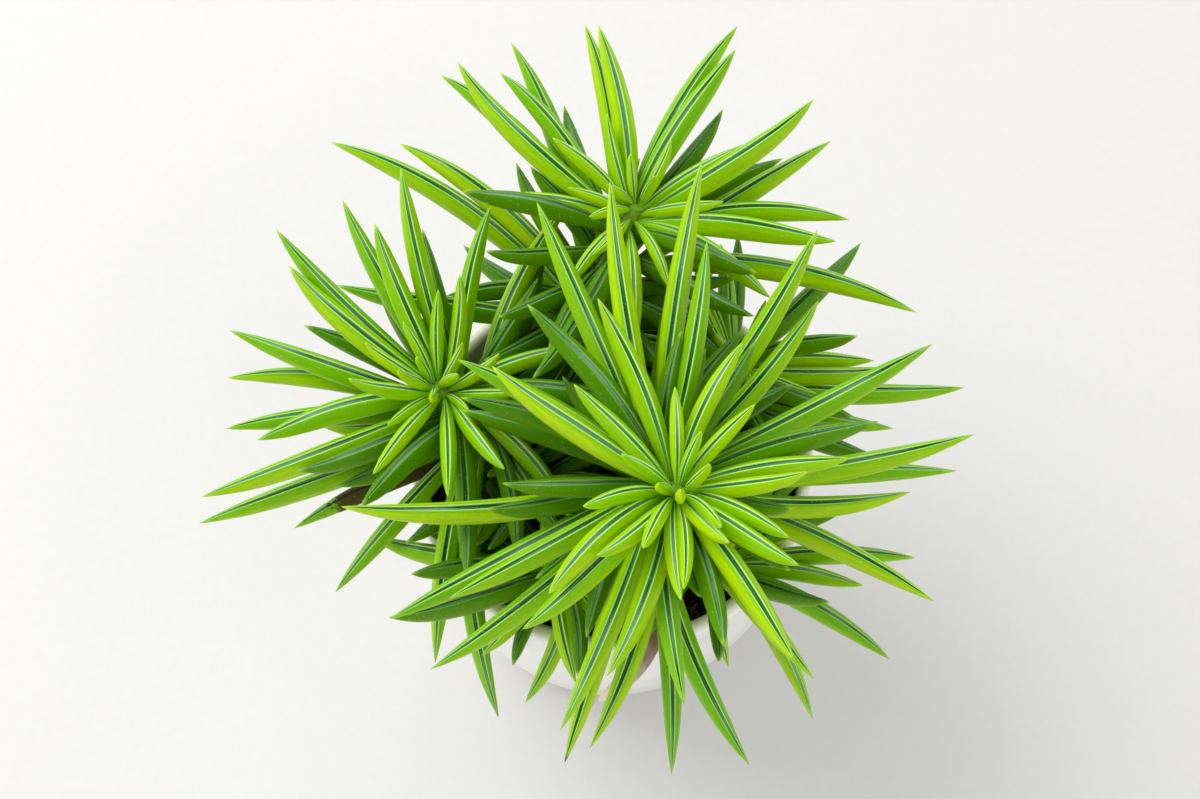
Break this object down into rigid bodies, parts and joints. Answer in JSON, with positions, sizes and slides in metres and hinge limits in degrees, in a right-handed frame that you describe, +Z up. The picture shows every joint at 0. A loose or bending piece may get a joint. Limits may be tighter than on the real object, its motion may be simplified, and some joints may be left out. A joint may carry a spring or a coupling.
{
  "type": "potted peperomia",
  "caption": "White glazed plant pot filled with bark mix, holding upright succulent shoots ringed by long pod-shaped leaves that are folded along a dark top stripe.",
  "frame": {"origin": "middle of the pot's flat underside, on the surface that the pot stands on", "axes": "+Z up out of the pot, -Y the front, towards which the tallest shoot leans, +X to the right of someone looking along +Y"},
  "size_m": [0.2404, 0.2245, 0.215],
  "materials": {
    "pot_glaze": "gloss",
    "potting_mix": "matte",
    "stem_skin": "satin",
    "leaf_skin": "gloss",
    "dry_leaf": "matte"
  },
  "bodies": {
    "root": {"back_leaf_01": "leaf_skin", "back_leaf_02": "leaf_skin", "back_leaf_03": "leaf_skin", "back_leaf_04": "leaf_skin", "back_leaf_05": "leaf_skin", "back_leaf_06": "leaf_skin", "back_leaf_07": "leaf_skin", "back_leaf_08": "leaf_skin", "back_leaf_09": "leaf_skin", "back_leaf_10": "leaf_skin", "back_stem": "stem_skin", "front_leaf_01": "leaf_skin", "front_leaf_02": "leaf_skin", "front_leaf_03": "leaf_skin", "front_leaf_04": "leaf_skin", "front_leaf_05": "leaf_skin", "front_leaf_06": "leaf_skin", "front_leaf_07": "leaf_skin", "front_leaf_08": "leaf_skin", "front_leaf_09": "leaf_skin", "front_leaf_10": "leaf_skin", "front_leaf_11": "leaf_skin", "front_leaf_12": "leaf_skin", "front_leaf_13": "leaf_skin", "front_leaf_14": "leaf_skin", "front_leaf_15": "leaf_skin", "front_leaf_16": "leaf_skin", "front_leaf_17": "leaf_skin", "front_leaf_18": "leaf_skin", "front_leaf_19": "leaf_skin", "front_leaf_20": "leaf_skin", "front_leaf_21": "leaf_skin", "front_leaf_22": "leaf_skin", "front_leaf_23": "leaf_skin", "front_stem": "stem_skin", "left_leaf_01": "leaf_skin", "left_leaf_02": "leaf_skin", "left_leaf_03": "leaf_skin", "left_leaf_04": "leaf_skin", "left_leaf_05": "leaf_skin", "left_leaf_06": "leaf_skin", "left_leaf_07": "leaf_skin", "left_leaf_08": "leaf_skin", "left_leaf_09": "leaf_skin", "left_leaf_10": "leaf_skin", "left_leaf_11": "leaf_skin", "left_leaf_12": "leaf_skin", "left_leaf_13": "dry_leaf", "left_stem": "stem_skin", "low_front_leaf_01": "leaf_skin", "low_front_stem": "stem_skin", "low_right_leaf_01": "leaf_skin", "low_right_leaf_02": "leaf_skin", "low_right_stem": "stem_skin", "middle_stem": "stem_skin", "pot": "pot_glaze", "right_leaf_01": "leaf_skin", "right_leaf_02": "leaf_skin", "right_stem": "stem_skin", "soil": "potting_mix"}
  },
  "joints": []
}
